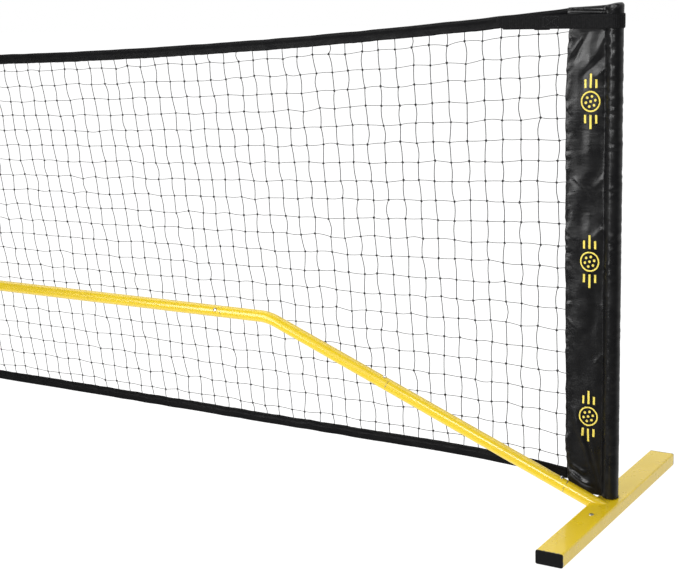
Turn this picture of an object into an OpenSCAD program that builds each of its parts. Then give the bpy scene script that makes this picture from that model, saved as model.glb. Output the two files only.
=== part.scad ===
// Portable court net: a knock-down tube frame on three feet, with a net that slips over its two posts.
// X runs along the net, Y across it, Z up. The origin is on the ground under the middle of the net.

/* [Net] */
// Distance between the post axes
post_spacing = 6706; // [6100:2:7300]
// Height of the post with its cap
post_top = 920; // [905:1:940]
// Height of the net's top edge at the posts, without its last steep rise
net_top = 909; // [880:1:915]
// Height of the net's top edge in the middle
centre_top = 864; // [845:1:880]
// How far the top edge sags between a post and the middle
top_sag = 47; // [0:1:60]
// Height of the band along the top edge
top_band_h = 21.5; // [20:0.5:40]
// Thickness of the band along the top edge
top_band_t = 6; // [5:0.5:8]
// Height of the bottom band's top edge
net_bottom = 81; // [70:1:100]
// Height of the bottom band
bottom_band_h = 21; // [16:1:30]
// Thickness of the bottom band
bottom_band_t = 5; // [4.5:0.5:8]
// Thickness of the mesh as one plain panel
mesh_t = 1; // [0.8:0.1:3]
// Diameter of the cords sewn into the two bands
cord_d = 3; // [2:0.5:3.2]

/* [Side sleeves] */
// Width of a side sleeve, from the post axis to its sewn edge
sleeve_w = 88; // [70:1:120]
// Height of a sleeve's bottom edge
sleeve_bottom = 28; // [26:1:60]
// Thickness of a sleeve's flat panel
panel_t = 3; // [2:0.5:6]
// Width of the webbing strap round the top of a sleeve
strap_h = 25; // [20:1:40]
// Reach of the strap along the front of the top band
strap_front = 224; // [160:2:400]
// Reach of the strap along the back of the top band
strap_back = 170; // [160:2:300]

/* [Frame tubes] */
// Outer diameter of the round tubes
tube_d = 25; // [24:0.5:28]
// Wall of the round tubes
tube_wall = 1.2; // [1:0.1:1.6]
// Height of the rail's axis
rail_z = 304; // [280:1:340]
// Distance of the rail's plane in front of the net
rail_offset = 31; // [30:0.5:40]
// Slope of the braces, in degrees
brace_angle = 21.5; // [20:0.1:23]
// Distance from the post to the bend, along the net
bend_d = 737; // [700:1:780]
// Radius of the bend
bend_r = 110; // [80:5:150]

/* [Feet] */
// Length of a foot's tube
foot_len = 570; // [500:5:700]
// Width of a foot
foot_w = 50; // [40:1:60]
// Height of a foot
foot_h = 25; // [20:1:27]
// Wall of a foot's tube
foot_wall = 1.5; // [1.2:0.1:2]
// Distance of the rivet in front of the post
rivet_y = 96; // [60:1:200]

/* [Snap buttons] */
// Diameter of a snap button
button_d = 8; // [6:0.5:9]
// How far a button stands out of its tube
button_out = 2.5; // [1.5:0.5:3]
// Distance from a tube's end to its button
button_gap = 14; // [12:1:20]

/* [Hidden] */
fine = 96;
fit = 0.05;
half = post_spacing / 2;
rail_y = -rail_offset;
tube_r = tube_d / 2;
bore_r = tube_r - tube_wall;
inner_wall = 1.3;
inner_r = bore_r - fit;
inner_bore_r = inner_r - inner_wall;
inner_out = 50;

// Distances from the post to the seams of the socket, the brace and the elbow
seams = [75, 453, 853];
rails = 3;
brace_weld = 97;
rail_weld = 32;
coupler_half = 60;
coupler_d = half - coupler_half;
rail_len = (coupler_d - seams[2]) / rails;
bend_reach = bend_r * tan(brace_angle / 2);
cap_h = 3;
sleeve_ceiling = post_top + 0.5;
pocket_r = tube_r + 0.5;
pocket_wall = 1.2;
pocket_out_r = pocket_r + pocket_wall;
strap_t = 1.5;
strap_in_r = pocket_out_r + 0.3;
strap_z = net_top - 27;
centre_pocket_bottom = centre_top - 64;
centre_ceiling = centre_top - 8;
centre_post_top = centre_ceiling - cap_h - 0.5;
stub_top = rail_z + 40;
button_tip = tube_r + button_out;
button_hole_r = button_d / 2 + fit;
brace_turn = 0;
rail_turn = -65;
centre_turn = -90;
stations = 48;
net_half = half - sleeve_w;
xs = [for (i = [0 : stations]) -net_half + 2 * net_half * i / stations];

SIDED = [
    "foot", "foot_plug_front", "foot_plug_rear", "foot_rivet", "post_spigot", "post", "post_cap",
    "brace_socket", "brace_tube", "elbow_tube", "rail_tube_outer", "rail_tube_middle",
    "rail_tube_inner", "button_socket", "button_brace", "button_elbow", "button_rail_outer",
    "button_rail_middle", "button_rail_inner", "side_sleeve", "top_strap", "strap_slider"
];
CENTRAL = [
    "foot_centre", "foot_plug_front_centre", "foot_plug_rear_centre", "rail_coupler",
    "centre_column", "centre_stub", "centre_post", "centre_cap", "button_centre", "snap_springs",
    "net_mesh", "top_band", "bottom_band", "headline_cord", "foot_cord", "centre_pocket"
];

paint = "gold";
steel = "silver";
plastic = [0.12, 0.12, 0.13];
vinyl = [0.08, 0.08, 0.09];
webbing = [0.15, 0.15, 0.16];
twine = [0.2, 0.2, 0.2];

// Edges of the net at a point along it

// Share of the way from a post to the middle
function way_in(x) = 1 - abs(x) / half;

// 0 further than the reach from a post, rising to 1 at it
function near_post(x, reach) = pow(max(0, 1 - (half - abs(x)) / reach), 2);

// The top band rises steeply over the last stretch, and the bottom band is drawn down there
rise = 16;
rise_reach = 1300;
pull = 20;
pull_reach = 350;
function top_z(x) =
    net_top - (net_top - centre_top) * way_in(x) - 4 * top_sag * way_in(x) * (1 - way_in(x))
    + rise * near_post(x, rise_reach);
function bottom_z(x) = net_bottom - pull * near_post(x, pull_reach);

// Height of the brace's axis at a distance from the post
function brace_z(d) = rail_z - (bend_d - d) * tan(brace_angle);

// Places

// A side's own frame: the post is at the origin and the net runs towards -X
module at_side(s) {
    mirror([s < 0 ? 1 : 0, 0, 0]) translate([half, 0, 0]) children();
}

// A tube's frame in the rail's plane: Z along the tube towards the middle, X up, Y to the back
module on_brace(d) {
    translate([-d, rail_y, brace_z(d)]) rotate([0, brace_angle - 90, 0]) children();
}

module on_rail(d) {
    translate([-d, rail_y, rail_z]) rotate([0, -90, 0]) children();
}

// Tubes

module tube_run(length) {
    difference() {
        cylinder(h = length, r = tube_r, $fn = fine);
        translate([0, 0, -1]) cylinder(h = length + 2, r = bore_r, $fn = fine);
    }
}

// A tube with a thinner inner tube fixed in its far end, which the next tube slides over
module tube_with_inner(length, back) {
    rotate_extrude($fn = fine)
        polygon([
            [bore_r, 0], [tube_r, 0], [tube_r, length], [inner_r, length],
            [inner_r, length + inner_out], [inner_bore_r, length + inner_out],
            [inner_bore_r, length - back], [bore_r, length - back]
        ]);
}

module button_hole(z, turn) {
    translate([0, 0, z]) rotate([0, 0, turn]) rotate([0, 90, 0])
        cylinder(h = tube_d, r = button_hole_r, $fn = 48);
}

// The shallow round dent over the weld that fixes an inner tube
module weld_dent(z, turn) {
    dent_r = 12;
    dent_depth = 0.4;
    translate([0, 0, z]) rotate([0, 0, turn]) translate([tube_r + dent_r - dent_depth, 0, 0])
        sphere(r = dent_r, $fn = 48);
}

// A straight tube that receives a button at its near end and carries one at its far end
module straight_tube(length, weld, turn_near, turn_far) {
    difference() {
        tube_with_inner(length, weld + 13);
        button_hole(button_gap, turn_near);
        button_hole(length + button_gap, turn_far);
        weld_dent(length - weld, turn_far);
    }
}

module snap_button() {
    flange_r = button_d / 2 + 1.5;
    flange_low = 7;
    flange_top = 8.1;
    dome_r = 8.5;
    rotate([0, 90, 0]) {
        intersection() {
            translate([0, 0, flange_low])
                cylinder(h = button_tip - flange_low, d = button_d, $fn = 64);
            translate([0, 0, button_tip - dome_r]) sphere(r = dome_r, $fn = 64);
        }
        translate([0, 0, flange_low])
            cylinder(h = flange_top - flange_low, r = flange_r, $fn = 64);
    }
}

// A bent strip that lies in an inner tube, drawn as it is with its button pressed
module v_spring() {
    strip_w = 7;
    strip_t = 0.7;
    near_x = 2.2;
    far_x = -9.2;
    bend_z = -28;
    tail_z = 20;
    bend_mid = (near_x + far_x + strip_t) / 2;
    bend_out = (near_x + strip_t - far_x) / 2;
    translate([near_x, -strip_w / 2, bend_z]) cube([strip_t, strip_w, tail_z - bend_z]);
    translate([far_x, -strip_w / 2, bend_z]) cube([strip_t, strip_w, tail_z - bend_z]);
    translate([bend_mid, 0, bend_z]) rotate([90, 0, 0])
        linear_extrude(height = strip_w, center = true)
            difference() {
                circle(r = bend_out, $fn = 64);
                circle(r = bend_out - strip_t, $fn = 64);
                translate([-bend_out - 1, 0]) square([2 * bend_out + 2, bend_out + 1]);
            }
}

// Feet

module rounded_rect(w, h, r) {
    square([w - 2 * r, h], center = true);
    square([w, h - 2 * r], center = true);
    for (x = [-1, 1], y = [-1, 1])
        translate([x * (w / 2 - r), y * (h / 2 - r)]) circle(r = r, $fn = 48);
}

module foot_prism(length, inset, corner) {
    translate([0, 0, foot_h / 2]) rotate([90, 0, 0])
        linear_extrude(height = length, center = true)
            rounded_rect(foot_w - 2 * inset, foot_h - 2 * inset, corner);
}

corner_out = 3;
corner_in = corner_out - foot_wall;
rivet_r = 2.4;

module foot(rivet) {
    color(paint)
        difference() {
            foot_prism(foot_len, 0, corner_out);
            foot_prism(foot_len + 2, foot_wall, corner_in);
            if (rivet)
                translate([0, -rivet_y, foot_h / 2]) cylinder(h = foot_h, r = rivet_r, $fn = 48);
        }
}

// A plug with a stem inside the tube and a flange over its end; dir is -1 for the front
module foot_plug(dir) {
    flange_t = 2;
    stem_len = 18;
    color(plastic)
        translate([0, dir * foot_len / 2, 0]) {
            translate([0, dir * flange_t / 2, 0]) foot_prism(flange_t, 0.4, corner_out);
            translate([0, -dir * stem_len / 2, 0])
                foot_prism(stem_len, foot_wall + 0.1, corner_in);
        }
}

module foot_rivet() {
    head_r = 4.5;
    head_h = 1.6;
    tail_r = 3.6;
    tail_h = 4;
    color(steel)
        translate([0, -rivet_y, foot_h])
            rotate_extrude($fn = 64)
                polygon([
                    [0, -foot_wall - tail_h], [rivet_r, -foot_wall - tail_h],
                    [tail_r, -foot_wall - tail_h / 2], [rivet_r, -foot_wall], [rivet_r, 0],
                    [head_r, 0], [head_r - 0.2, 0.6 * head_h], [0.6 * head_r, 0.92 * head_h],
                    [0, head_h]
                ]);
}

// Post

module post_spigot() {
    spigot_h = 100;
    color(paint)
        translate([0, 0, foot_h])
            difference() {
                cylinder(h = spigot_h, r = inner_r, $fn = fine);
                translate([0, 0, -1]) cylinder(h = spigot_h + 2, r = inner_bore_r, $fn = fine);
            }
}

module post() {
    color(paint) translate([0, 0, foot_h]) tube_run(post_top - cap_h - foot_h);
}

module tube_cap() {
    stem_len = 16;
    color(plastic)
        rotate_extrude($fn = fine)
            polygon([
                [0, -stem_len], [inner_r, -stem_len], [inner_r, 0], [tube_r, 0],
                [tube_r, cap_h / 2], [tube_r - cap_h / 2, cap_h], [0, cap_h]
            ]);
}

// Brace and rail

module brace_socket() {
    start_d = -18;
    cope_depth = foot_h - corner_out;
    length = (seams[0] - start_d) / cos(brace_angle);
    color(paint)
        difference() {
            on_brace(start_d) straight_tube(length, rail_weld, 180, brace_turn);
            foot_prism(foot_len, 0, corner_out);
            translate([-foot_w / 2 + corner_out, -foot_len / 2, -foot_h])
                cube([foot_w, foot_len, foot_h + cope_depth]);
        }
}

module brace_tube() {
    length = (seams[1] - seams[0]) / cos(brace_angle);
    color(paint) on_brace(seams[0]) straight_tube(length, brace_weld, brace_turn, brace_turn);
}

module bend(outer_r, inner_r) {
    rotate_extrude(angle = brace_angle, $fn = 360) translate([bend_r, 0])
        difference() {
            circle(r = outer_r, $fn = fine);
            circle(r = inner_r, $fn = fine);
        }
}

// The two straight runs lap a little way into the bend, whose wall is a hair thicker
module elbow_tube() {
    lap = 1;
    swell = 0.02;
    slope_len = (bend_d - seams[1]) / cos(brace_angle) - bend_reach;
    level_len = seams[2] - bend_d - bend_reach;
    color(paint)
        on_brace(seams[1])
            difference() {
                union() {
                    tube_run(slope_len + lap);
                    translate([-bend_r, 0, slope_len]) rotate([90, 0, 0])
                        bend(tube_r + swell, bore_r - swell);
                    translate([-bend_r, 0, slope_len]) rotate([0, -brace_angle, 0])
                        translate([bend_r, 0, -lap])
                            tube_with_inner(level_len + lap, rail_weld + 13);
                }
                button_hole(button_gap, brace_turn);
                translate([-bend_r, 0, slope_len]) rotate([0, -brace_angle, 0])
                    translate([bend_r, 0, 0]) {
                        button_hole(level_len + button_gap, rail_turn);
                        weld_dent(level_len - rail_weld, rail_turn);
                    }
            }
}

// k counts the rail tubes from the elbow to the middle
module rail_tube(k) {
    color(paint)
        on_rail(seams[2] + k * rail_len)
            straight_tube(rail_len, rail_weld, rail_turn, rail_turn);
}

module brace_button(d) {
    color(steel) on_brace(d) translate([0, 0, button_gap]) rotate([0, 0, brace_turn]) snap_button();
}

module rail_button(d) {
    color(steel) on_rail(d) translate([0, 0, button_gap]) rotate([0, 0, rail_turn]) snap_button();
}

// Middle of the frame

module coupler_solid() {
    translate([-coupler_half, rail_y, rail_z]) rotate([0, 90, 0])
        cylinder(h = 2 * coupler_half, r = tube_r, $fn = fine);
}

module rail_coupler() {
    color(paint)
        difference() {
            coupler_solid();
            translate([-half, rail_y, rail_z]) rotate([0, 90, 0])
                cylinder(h = 2 * half, r = bore_r, $fn = fine);
            for (s = [-1, 1])
                at_side(s) on_rail(coupler_d) button_hole(button_gap, rail_turn);
        }
}

// Depth to which the column and the stub are coped round the coupler
cope_in = tube_r - 4;

module centre_column() {
    color(paint)
        difference() {
            translate([0, rail_y, foot_h]) tube_run(rail_z - foot_h - tube_r + cope_in);
            coupler_solid();
        }
}

module centre_stub() {
    start_z = rail_z + tube_r - cope_in;
    length = stub_top - start_z;
    color(paint)
        difference() {
            translate([0, rail_y, start_z]) {
                difference() {
                    tube_with_inner(length, length / 2);
                    button_hole(length + button_gap, centre_turn);
                }
            }
            coupler_solid();
        }
}

module centre_post() {
    color(paint)
        translate([0, rail_y, stub_top])
            difference() {
                tube_run(centre_post_top - stub_top);
                button_hole(button_gap, centre_turn);
            }
}

module centre_cap() {
    translate([0, rail_y, centre_post_top]) tube_cap();
}

module button_centre() {
    color(steel)
        translate([0, rail_y, stub_top + button_gap]) rotate([0, 0, centre_turn]) snap_button();
}

module snap_springs() {
    color(steel) {
        for (s = [-1, 1])
            at_side(s) {
                for (d = [seams[0], seams[1]])
                    on_brace(d) translate([0, 0, button_gap]) v_spring();
                for (k = [0 : rails])
                    on_rail(seams[2] + k * rail_len) translate([0, 0, button_gap])
                        rotate([0, 0, rail_turn]) v_spring();
            }
        translate([0, rail_y, stub_top + button_gap]) rotate([0, 0, centre_turn]) v_spring();
    }
}

// Net

// A strip along the net between two heights, centred on the net's plane; both are lists over xs
module net_strip(lows, highs, thickness) {
    outline = concat(
        [for (i = [0 : stations]) [xs[i], lows[i]]],
        [for (i = [stations : -1 : 0]) [xs[i], highs[i]]]
    );
    rotate([90, 0, 0])
        linear_extrude(height = thickness, center = true) polygon(outline);
}

// A band round a cord, with a square channel that clears the cord
module corded_band(edges, height, thickness, cord_drop) {
    channel = cord_d + 0.4;
    difference() {
        net_strip([for (z = edges) z - height], edges, thickness);
        net_strip(
            [for (z = edges) z - cord_drop - channel / 2],
            [for (z = edges) z - cord_drop + channel / 2],
            channel
        );
    }
}

// A round cord through the heights given at each x of xs
module net_cord(heights) {
    sides = 8;
    ring = [for (k = [0 : sides - 1]) cord_d / 2 * [cos(360 * k / sides), sin(360 * k / sides)]];
    points = [for (i = [0 : stations], p = ring) [xs[i], p[0], heights[i] + p[1]]];
    walls = [
        for (i = [0 : stations - 1], k = [0 : sides - 1])
            let (a = i * sides, next = (k + 1) % sides)
                [a + k, a + sides + k, a + sides + next, a + next]
    ];
    start = [for (k = [0 : sides - 1]) k];
    end = [for (k = [sides - 1 : -1 : 0]) stations * sides + k];
    polyhedron(points, concat(walls, [start, end]));
}

top_edges = [for (x = xs) top_z(x)];
bottom_edges = [for (x = xs) bottom_z(x)];
headline_drop = 5;
foot_cord_drop = bottom_band_h / 2;

module net_mesh() {
    color(twine) net_strip(bottom_edges, [for (z = top_edges) z - top_band_h], mesh_t);
}

module top_band() {
    color(vinyl) corded_band(top_edges, top_band_h, top_band_t, headline_drop);
}

module bottom_band() {
    color(vinyl) corded_band(bottom_edges, bottom_band_h, bottom_band_t, foot_cord_drop);
}

module headline_cord() {
    color(twine) net_cord([for (z = top_edges) z - headline_drop]);
}

module foot_cord() {
    color(twine) net_cord([for (z = bottom_edges) z - foot_cord_drop]);
}

// A flat panel with a pocket at its outer edge, closed at the top, that slips over the post
module side_sleeve() {
    roof_t = 3;
    color(vinyl)
        difference() {
            union() {
                translate([0, 0, sleeve_bottom])
                    cylinder(
                        h = sleeve_ceiling + roof_t - sleeve_bottom, r = pocket_out_r, $fn = fine
                    );
                translate([-sleeve_w, -panel_t / 2, sleeve_bottom])
                    cube([sleeve_w, panel_t, sleeve_ceiling + roof_t - sleeve_bottom]);
            }
            translate([0, 0, sleeve_bottom - 1])
                cylinder(h = sleeve_ceiling - sleeve_bottom + 1, r = pocket_r, $fn = fine);
        }
}

// A strap round the pocket, with both tails flat against the top band
module top_strap() {
    strap_out_r = strap_in_r + strap_t;
    band_y = top_band_t / 2 + 0.2;
    lay_x = 75;
    lap = 0.5;
    color(webbing)
        translate([0, 0, strap_z]) {
            linear_extrude(height = strap_h)
                difference() {
                    circle(r = strap_out_r, $fn = fine);
                    circle(r = strap_in_r, $fn = fine);
                    translate([-tube_d, -tube_d]) square([tube_d, 2 * tube_d]);
                }
            for (tail = [[-1, strap_front], [1, strap_back]])
                linear_extrude(height = strap_h)
                    polygon([
                        [lap, tail[0] * strap_in_r], [lap, tail[0] * (strap_out_r - 0.02)],
                        [-lay_x, tail[0] * (band_y + strap_t)],
                        [-tail[1], tail[0] * (band_y + strap_t)],
                        [-tail[1], tail[0] * band_y], [-lay_x, tail[0] * band_y]
                    ]);
        }
}

// A ladder-lock frame on the back tail of the strap
module strap_slider() {
    slider_w = 30;
    slider_h = strap_h + 4;
    slider_t = 3.5;
    slider_x = -140;
    slot_w = 6;
    back_y = top_band_t / 2 + 0.2 + strap_t;
    color(plastic)
        translate([slider_x, back_y, strap_z + strap_h / 2]) rotate([-90, 0, 0])
            linear_extrude(height = slider_t)
                difference() {
                    rounded_rect(slider_w, slider_h, 3);
                    for (x = [-1, 1])
                        translate([x * slot_w, 0]) square([slot_w, strap_h + 1], center = true);
                }
}

// A pocket on the front of the top band, closed at the top, that slips over the centre post
module centre_pocket() {
    flare = 22;
    roof_t = 2.5;
    color(vinyl)
        difference() {
            translate([0, 0, centre_pocket_bottom])
                linear_extrude(height = centre_ceiling + roof_t - centre_pocket_bottom) {
                    translate([0, rail_y]) circle(r = pocket_out_r, $fn = fine);
                    polygon([
                        [-pocket_out_r, rail_y], [pocket_out_r, rail_y],
                        [flare, -top_band_t / 2], [-flare, -top_band_t / 2]
                    ]);
                }
            translate([0, rail_y, centre_pocket_bottom - 1])
                cylinder(h = centre_ceiling - centre_pocket_bottom + 1, r = pocket_r, $fn = fine);
        }
}

// Assembly

foot(false);  // foot_centre
foot_plug(-1);  // foot_plug_front_centre
foot_plug(1);  // foot_plug_rear_centre
rail_coupler();
centre_column();
centre_stub();
centre_post();
centre_cap();
button_centre();
snap_springs();
net_mesh();
top_band();
bottom_band();
headline_cord();
foot_cord();
centre_pocket();

for (s = [-1, 1]) {
    side = s < 0 ? "left" : "right";
    at_side(s) foot(true);
    at_side(s) foot_plug(-1);
    at_side(s) foot_plug(1);
    at_side(s) foot_rivet();
    at_side(s) post_spigot();
    at_side(s) post();
    at_side(s) translate([0, 0, post_top - cap_h]) tube_cap();
    at_side(s) brace_socket();
    at_side(s) brace_tube();
    at_side(s) elbow_tube();
    at_side(s) rail_tube(0);
    at_side(s) rail_tube(1);
    at_side(s) rail_tube(2);
    at_side(s) brace_button(seams[0]);
    at_side(s) brace_button(seams[1]);
    at_side(s) rail_button(seams[2]);
    at_side(s) rail_button(seams[2] + rail_len);
    at_side(s) rail_button(seams[2] + 2 * rail_len);
    at_side(s) rail_button(seams[2] + 3 * rail_len);
    at_side(s) side_sleeve();
    at_side(s) top_strap();
    at_side(s) strap_slider();
}
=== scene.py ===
"""Looks of a portable court net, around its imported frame.

In metres, apart from the sleeves' sections, edges and folds, which are in millimetres. As in
the CAD, X runs along the net, -Y is the front and Z is up. Both sides are built in the right
side's own frame, with the post at the origin and the net towards -X, and then mirrored.
"""

import math

import bpy
import numpy as np
from mathutils import Matrix, Vector


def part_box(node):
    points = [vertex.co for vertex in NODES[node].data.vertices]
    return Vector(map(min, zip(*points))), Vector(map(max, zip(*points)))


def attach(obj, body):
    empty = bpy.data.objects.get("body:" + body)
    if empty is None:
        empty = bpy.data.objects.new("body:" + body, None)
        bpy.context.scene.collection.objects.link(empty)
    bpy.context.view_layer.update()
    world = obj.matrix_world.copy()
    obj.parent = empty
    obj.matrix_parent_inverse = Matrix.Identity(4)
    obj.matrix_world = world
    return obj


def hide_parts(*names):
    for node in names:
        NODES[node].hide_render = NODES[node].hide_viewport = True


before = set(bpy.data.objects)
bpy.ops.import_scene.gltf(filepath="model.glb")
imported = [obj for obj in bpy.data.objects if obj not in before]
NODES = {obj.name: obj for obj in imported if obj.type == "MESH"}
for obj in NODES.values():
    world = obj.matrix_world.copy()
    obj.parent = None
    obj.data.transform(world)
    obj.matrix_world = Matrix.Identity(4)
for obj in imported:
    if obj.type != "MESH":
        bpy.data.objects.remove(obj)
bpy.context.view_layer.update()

MM = 0.001

SIDES = ((1, "right"), (-1, "left"))


def middle(node):
    low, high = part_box(node)
    return (low + high) / 2


POST_X = middle("post_right").x
POST_LOW, POST_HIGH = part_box("post_right")
TUBE_R = (POST_HIGH.x - POST_LOW.x) / 2
POST_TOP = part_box("post_cap_right")[1].z
FOOT_LOW, FOOT_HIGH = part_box("foot_right")
FOOT_TOP = FOOT_HIGH.z
FOOT_HALF_W = (FOOT_HIGH.x - FOOT_LOW.x) / 2
RAIL_Y = middle("rail_coupler").y
RAIL_Z = middle("rail_coupler").z
NET_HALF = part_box("net_mesh")[1].x
SLEEVE_W = POST_X - NET_HALF
STRAP_LOW, STRAP_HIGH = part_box("top_strap_right")
POCKET_LOW, POCKET_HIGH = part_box("centre_pocket")

# The brace, as the CAD draws it
BRACE_SLOPE = math.radians(21.5)
BRACE_ALONG, BRACE_DOWN = math.cos(BRACE_SLOPE), math.sin(BRACE_SLOPE)
BEND_D = 0.737


# Numbers

def smoothstep(x):
    x = np.clip(x, 0, 1)
    return x * x * (3 - 2 * x)


def hermite(x, known_x, known_y):
    """A smooth curve through known points, read at x, that never runs past them."""
    known_x, known_y = np.asarray(known_x, float), np.asarray(known_y, float)
    secants = np.diff(known_y) / np.diff(known_x)
    before, after = secants[:-1], secants[1:]
    level = before * after <= 0
    inner = np.where(level, 0, 2 * before * after / np.where(level, 1, before + after))
    slopes = np.concatenate([secants[:1], inner, secants[-1:]])
    k = np.clip(np.searchsorted(known_x, x) - 1, 0, len(known_x) - 2)
    step = known_x[k + 1] - known_x[k]
    t = np.clip((x - known_x[k]) / step, 0, 1)
    return (
        (2 * t**3 - 3 * t**2 + 1) * known_y[k]
        + (t**3 - 2 * t**2 + t) * step * slopes[k]
        + (3 * t**2 - 2 * t**3) * known_y[k + 1]
        + (t**3 - t**2) * step * slopes[k + 1]
    )


def band_edge(node, top):
    """The height of a band's upper or lower edge as a function of x, read from its CAD node."""
    co = np.array([vertex.co for vertex in NODES[node].data.vertices])
    stations = np.unique(np.round(co[:, 0], 3))
    pick = np.max if top else np.min
    heights = [pick(co[np.abs(co[:, 0] - x) < MM, 2]) for x in stations]
    return lambda x: hermite(np.asarray(x, float), stations, heights)


top_edge = band_edge("top_band", True)
mesh_top = band_edge("net_mesh", True)
mesh_bottom = band_edge("net_mesh", False)
TOP_BAND_H = float(top_edge(0.0) - mesh_top(0.0))
BOTTOM_BAND_H = float(mesh_bottom(0.0) - band_edge("bottom_band", False)(0.0))


def blotches(a, b, cell_a, cell_b, rng):
    """Smooth random values about 0 at the points (a, b), with one bump a cell."""
    u, v = (a - a.min()) / cell_a, (b - b.min()) / cell_b
    grid = rng.uniform(-1, 1, (int(u.max()) + 2, int(v.max()) + 2))
    i, j = u.astype(int), v.astype(int)
    s, t = smoothstep(u - i), smoothstep(v - j)
    near = grid[i, j] * (1 - t) + grid[i, j + 1] * t
    far = grid[i + 1, j] * (1 - t) + grid[i + 1, j + 1] * t
    return near * (1 - s) + far * s


def unit(v):
    v = np.asarray(v, float)
    return v / np.maximum(np.linalg.norm(v, axis=-1, keepdims=True), 1e-12)


def run_along(path):
    """How far along a path each of its points lies."""
    steps = np.linalg.norm(np.diff(path, axis=0), axis=1)
    return np.concatenate([[0], np.cumsum(steps)])


def outward(plan):
    """Unit normals of a plan drawn in X and Y, on its right-hand side."""
    slope = unit(np.gradient(plan, axis=0))
    return np.stack([slope[:, 1], -slope[:, 0]], -1)


def read_path(x, at, points):
    """The points at x of a path whose own points lie at the values of at."""
    return np.stack([np.interp(x, at, column) for column in points.T], -1)


def even_path(points, count):
    """A smooth path through the given points, with evenly spaced points on it."""
    points = np.asarray(points, float)
    at = run_along(points)
    fine = np.linspace(0, at[-1], 20 * len(points))
    # A short running mean rounds the corners of the plain polyline
    curve = read_path(fine, at, points)
    for _ in range(3):
        curve[3:-3] = sum(curve[k : len(curve) - 6 + k] for k in range(7)) / 7
    run = run_along(curve)
    return read_path(np.linspace(0, run[-1], count), run, curve)


# Meshes

def grid_faces(rows, cols, wrap=False):
    """Quads of a grid stored row by row; wrap joins its last column to its first."""
    r = np.arange(rows - 1)[:, None]
    c = np.arange(cols if wrap else cols - 1)[None, :]
    after = (c + 1) % cols
    return np.stack(
        [r * cols + c, r * cols + after, (r + 1) * cols + after, (r + 1) * cols + c], -1
    ).reshape(-1, 4)


class Shape:
    """Points and faces of one piece. With a side, 1 or -1, they lie in its own frame."""

    def __init__(self, side=None):
        self.side = side
        self.points = []
        self.faces = []
        self.count = 0

    def add(self, points, *face_sets):
        points = np.asarray(points, float).reshape(-1, 3)
        self.points.append(points)
        self.faces += [np.asarray(f) + self.count for f in face_sets]
        self.count += len(points)

    def piece(self, name, material, body, slot, *replaced):
        points = np.concatenate(self.points)
        if self.side is not None:
            points = (points + (POST_X, 0, 0)) * (self.side, 1, 1)
        faces = [f[:, ::-1] for f in self.faces] if self.side == -1 else self.faces
        sizes = np.concatenate([np.full(len(f), f.shape[1]) for f in faces])
        mesh = bpy.data.meshes.new(name)
        mesh.vertices.add(len(points))
        mesh.vertices.foreach_set("co", points.astype(np.float32).ravel())
        mesh.loops.add(int(sizes.sum()))
        corners = np.concatenate([f.ravel() for f in faces])
        mesh.loops.foreach_set("vertex_index", corners.astype(np.int32))
        mesh.polygons.add(len(sizes))
        starts = np.concatenate([[0], np.cumsum(sizes)[:-1]])
        mesh.polygons.foreach_set("loop_start", starts.astype(np.int32))
        mesh.polygons.foreach_set("use_smooth", np.ones(len(sizes), bool))
        mesh.update(calc_edges=True)
        mesh.validate()
        mesh.materials.append(material)
        obj = bpy.data.objects.new(name, mesh)
        bpy.context.scene.collection.objects.link(obj)
        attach(obj, body)
        if replaced:
            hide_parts(*replaced)
        return obj


def add_skin(shape, surface, thickness):
    """Adds a thin closed solid under its outer face, a grid of points (rows, cols, 3)."""
    rows, cols, _ = surface.shape
    normals = unit(np.cross(np.gradient(surface, axis=1), np.gradient(surface, axis=0)))
    inner = surface - normals * thickness
    faces = grid_faces(rows, cols)
    n = rows * cols
    index = np.arange(n).reshape(rows, cols)
    rim = np.concatenate([index[0], index[1:, -1], index[-1, -2::-1], index[-2:0:-1, 0]])
    after = np.roll(rim, -1)
    edge = np.stack([rim, rim + n, after + n, after], -1)
    points = np.concatenate([surface.reshape(-1, 3), inner.reshape(-1, 3)])
    shape.add(points, faces, faces[:, ::-1] + n, edge)


def add_tube(shape, path, radius, sides=8, closed=False, up=(0, 0, 1)):
    """Adds a tube along a path, with flat ends unless it is closed. radius may vary along it."""
    path = np.asarray(path, float)
    if closed:
        tangent = unit(np.roll(path, -1, axis=0) - np.roll(path, 1, axis=0))
    else:
        tangent = unit(np.gradient(path, axis=0))
    across = unit(np.cross(tangent, np.broadcast_to(up, path.shape)))
    other = np.cross(tangent, across)
    angle = 2 * np.pi * np.arange(sides) / sides
    ring = across[:, None] * np.cos(angle)[:, None] + other[:, None] * np.sin(angle)[:, None]
    size = np.broadcast_to(radius, len(path))[:, None, None]
    points = path[:, None] + ring * size
    if closed:
        faces = grid_faces(len(path) + 1, sides, wrap=True) % (len(path) * sides)
        shape.add(points, faces)
        return
    ends = np.arange(sides)
    shape.add(
        points,
        grid_faces(len(path), sides, wrap=True),
        ends[None, ::-1],
        ends[None] + (len(path) - 1) * sides,
    )


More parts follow.
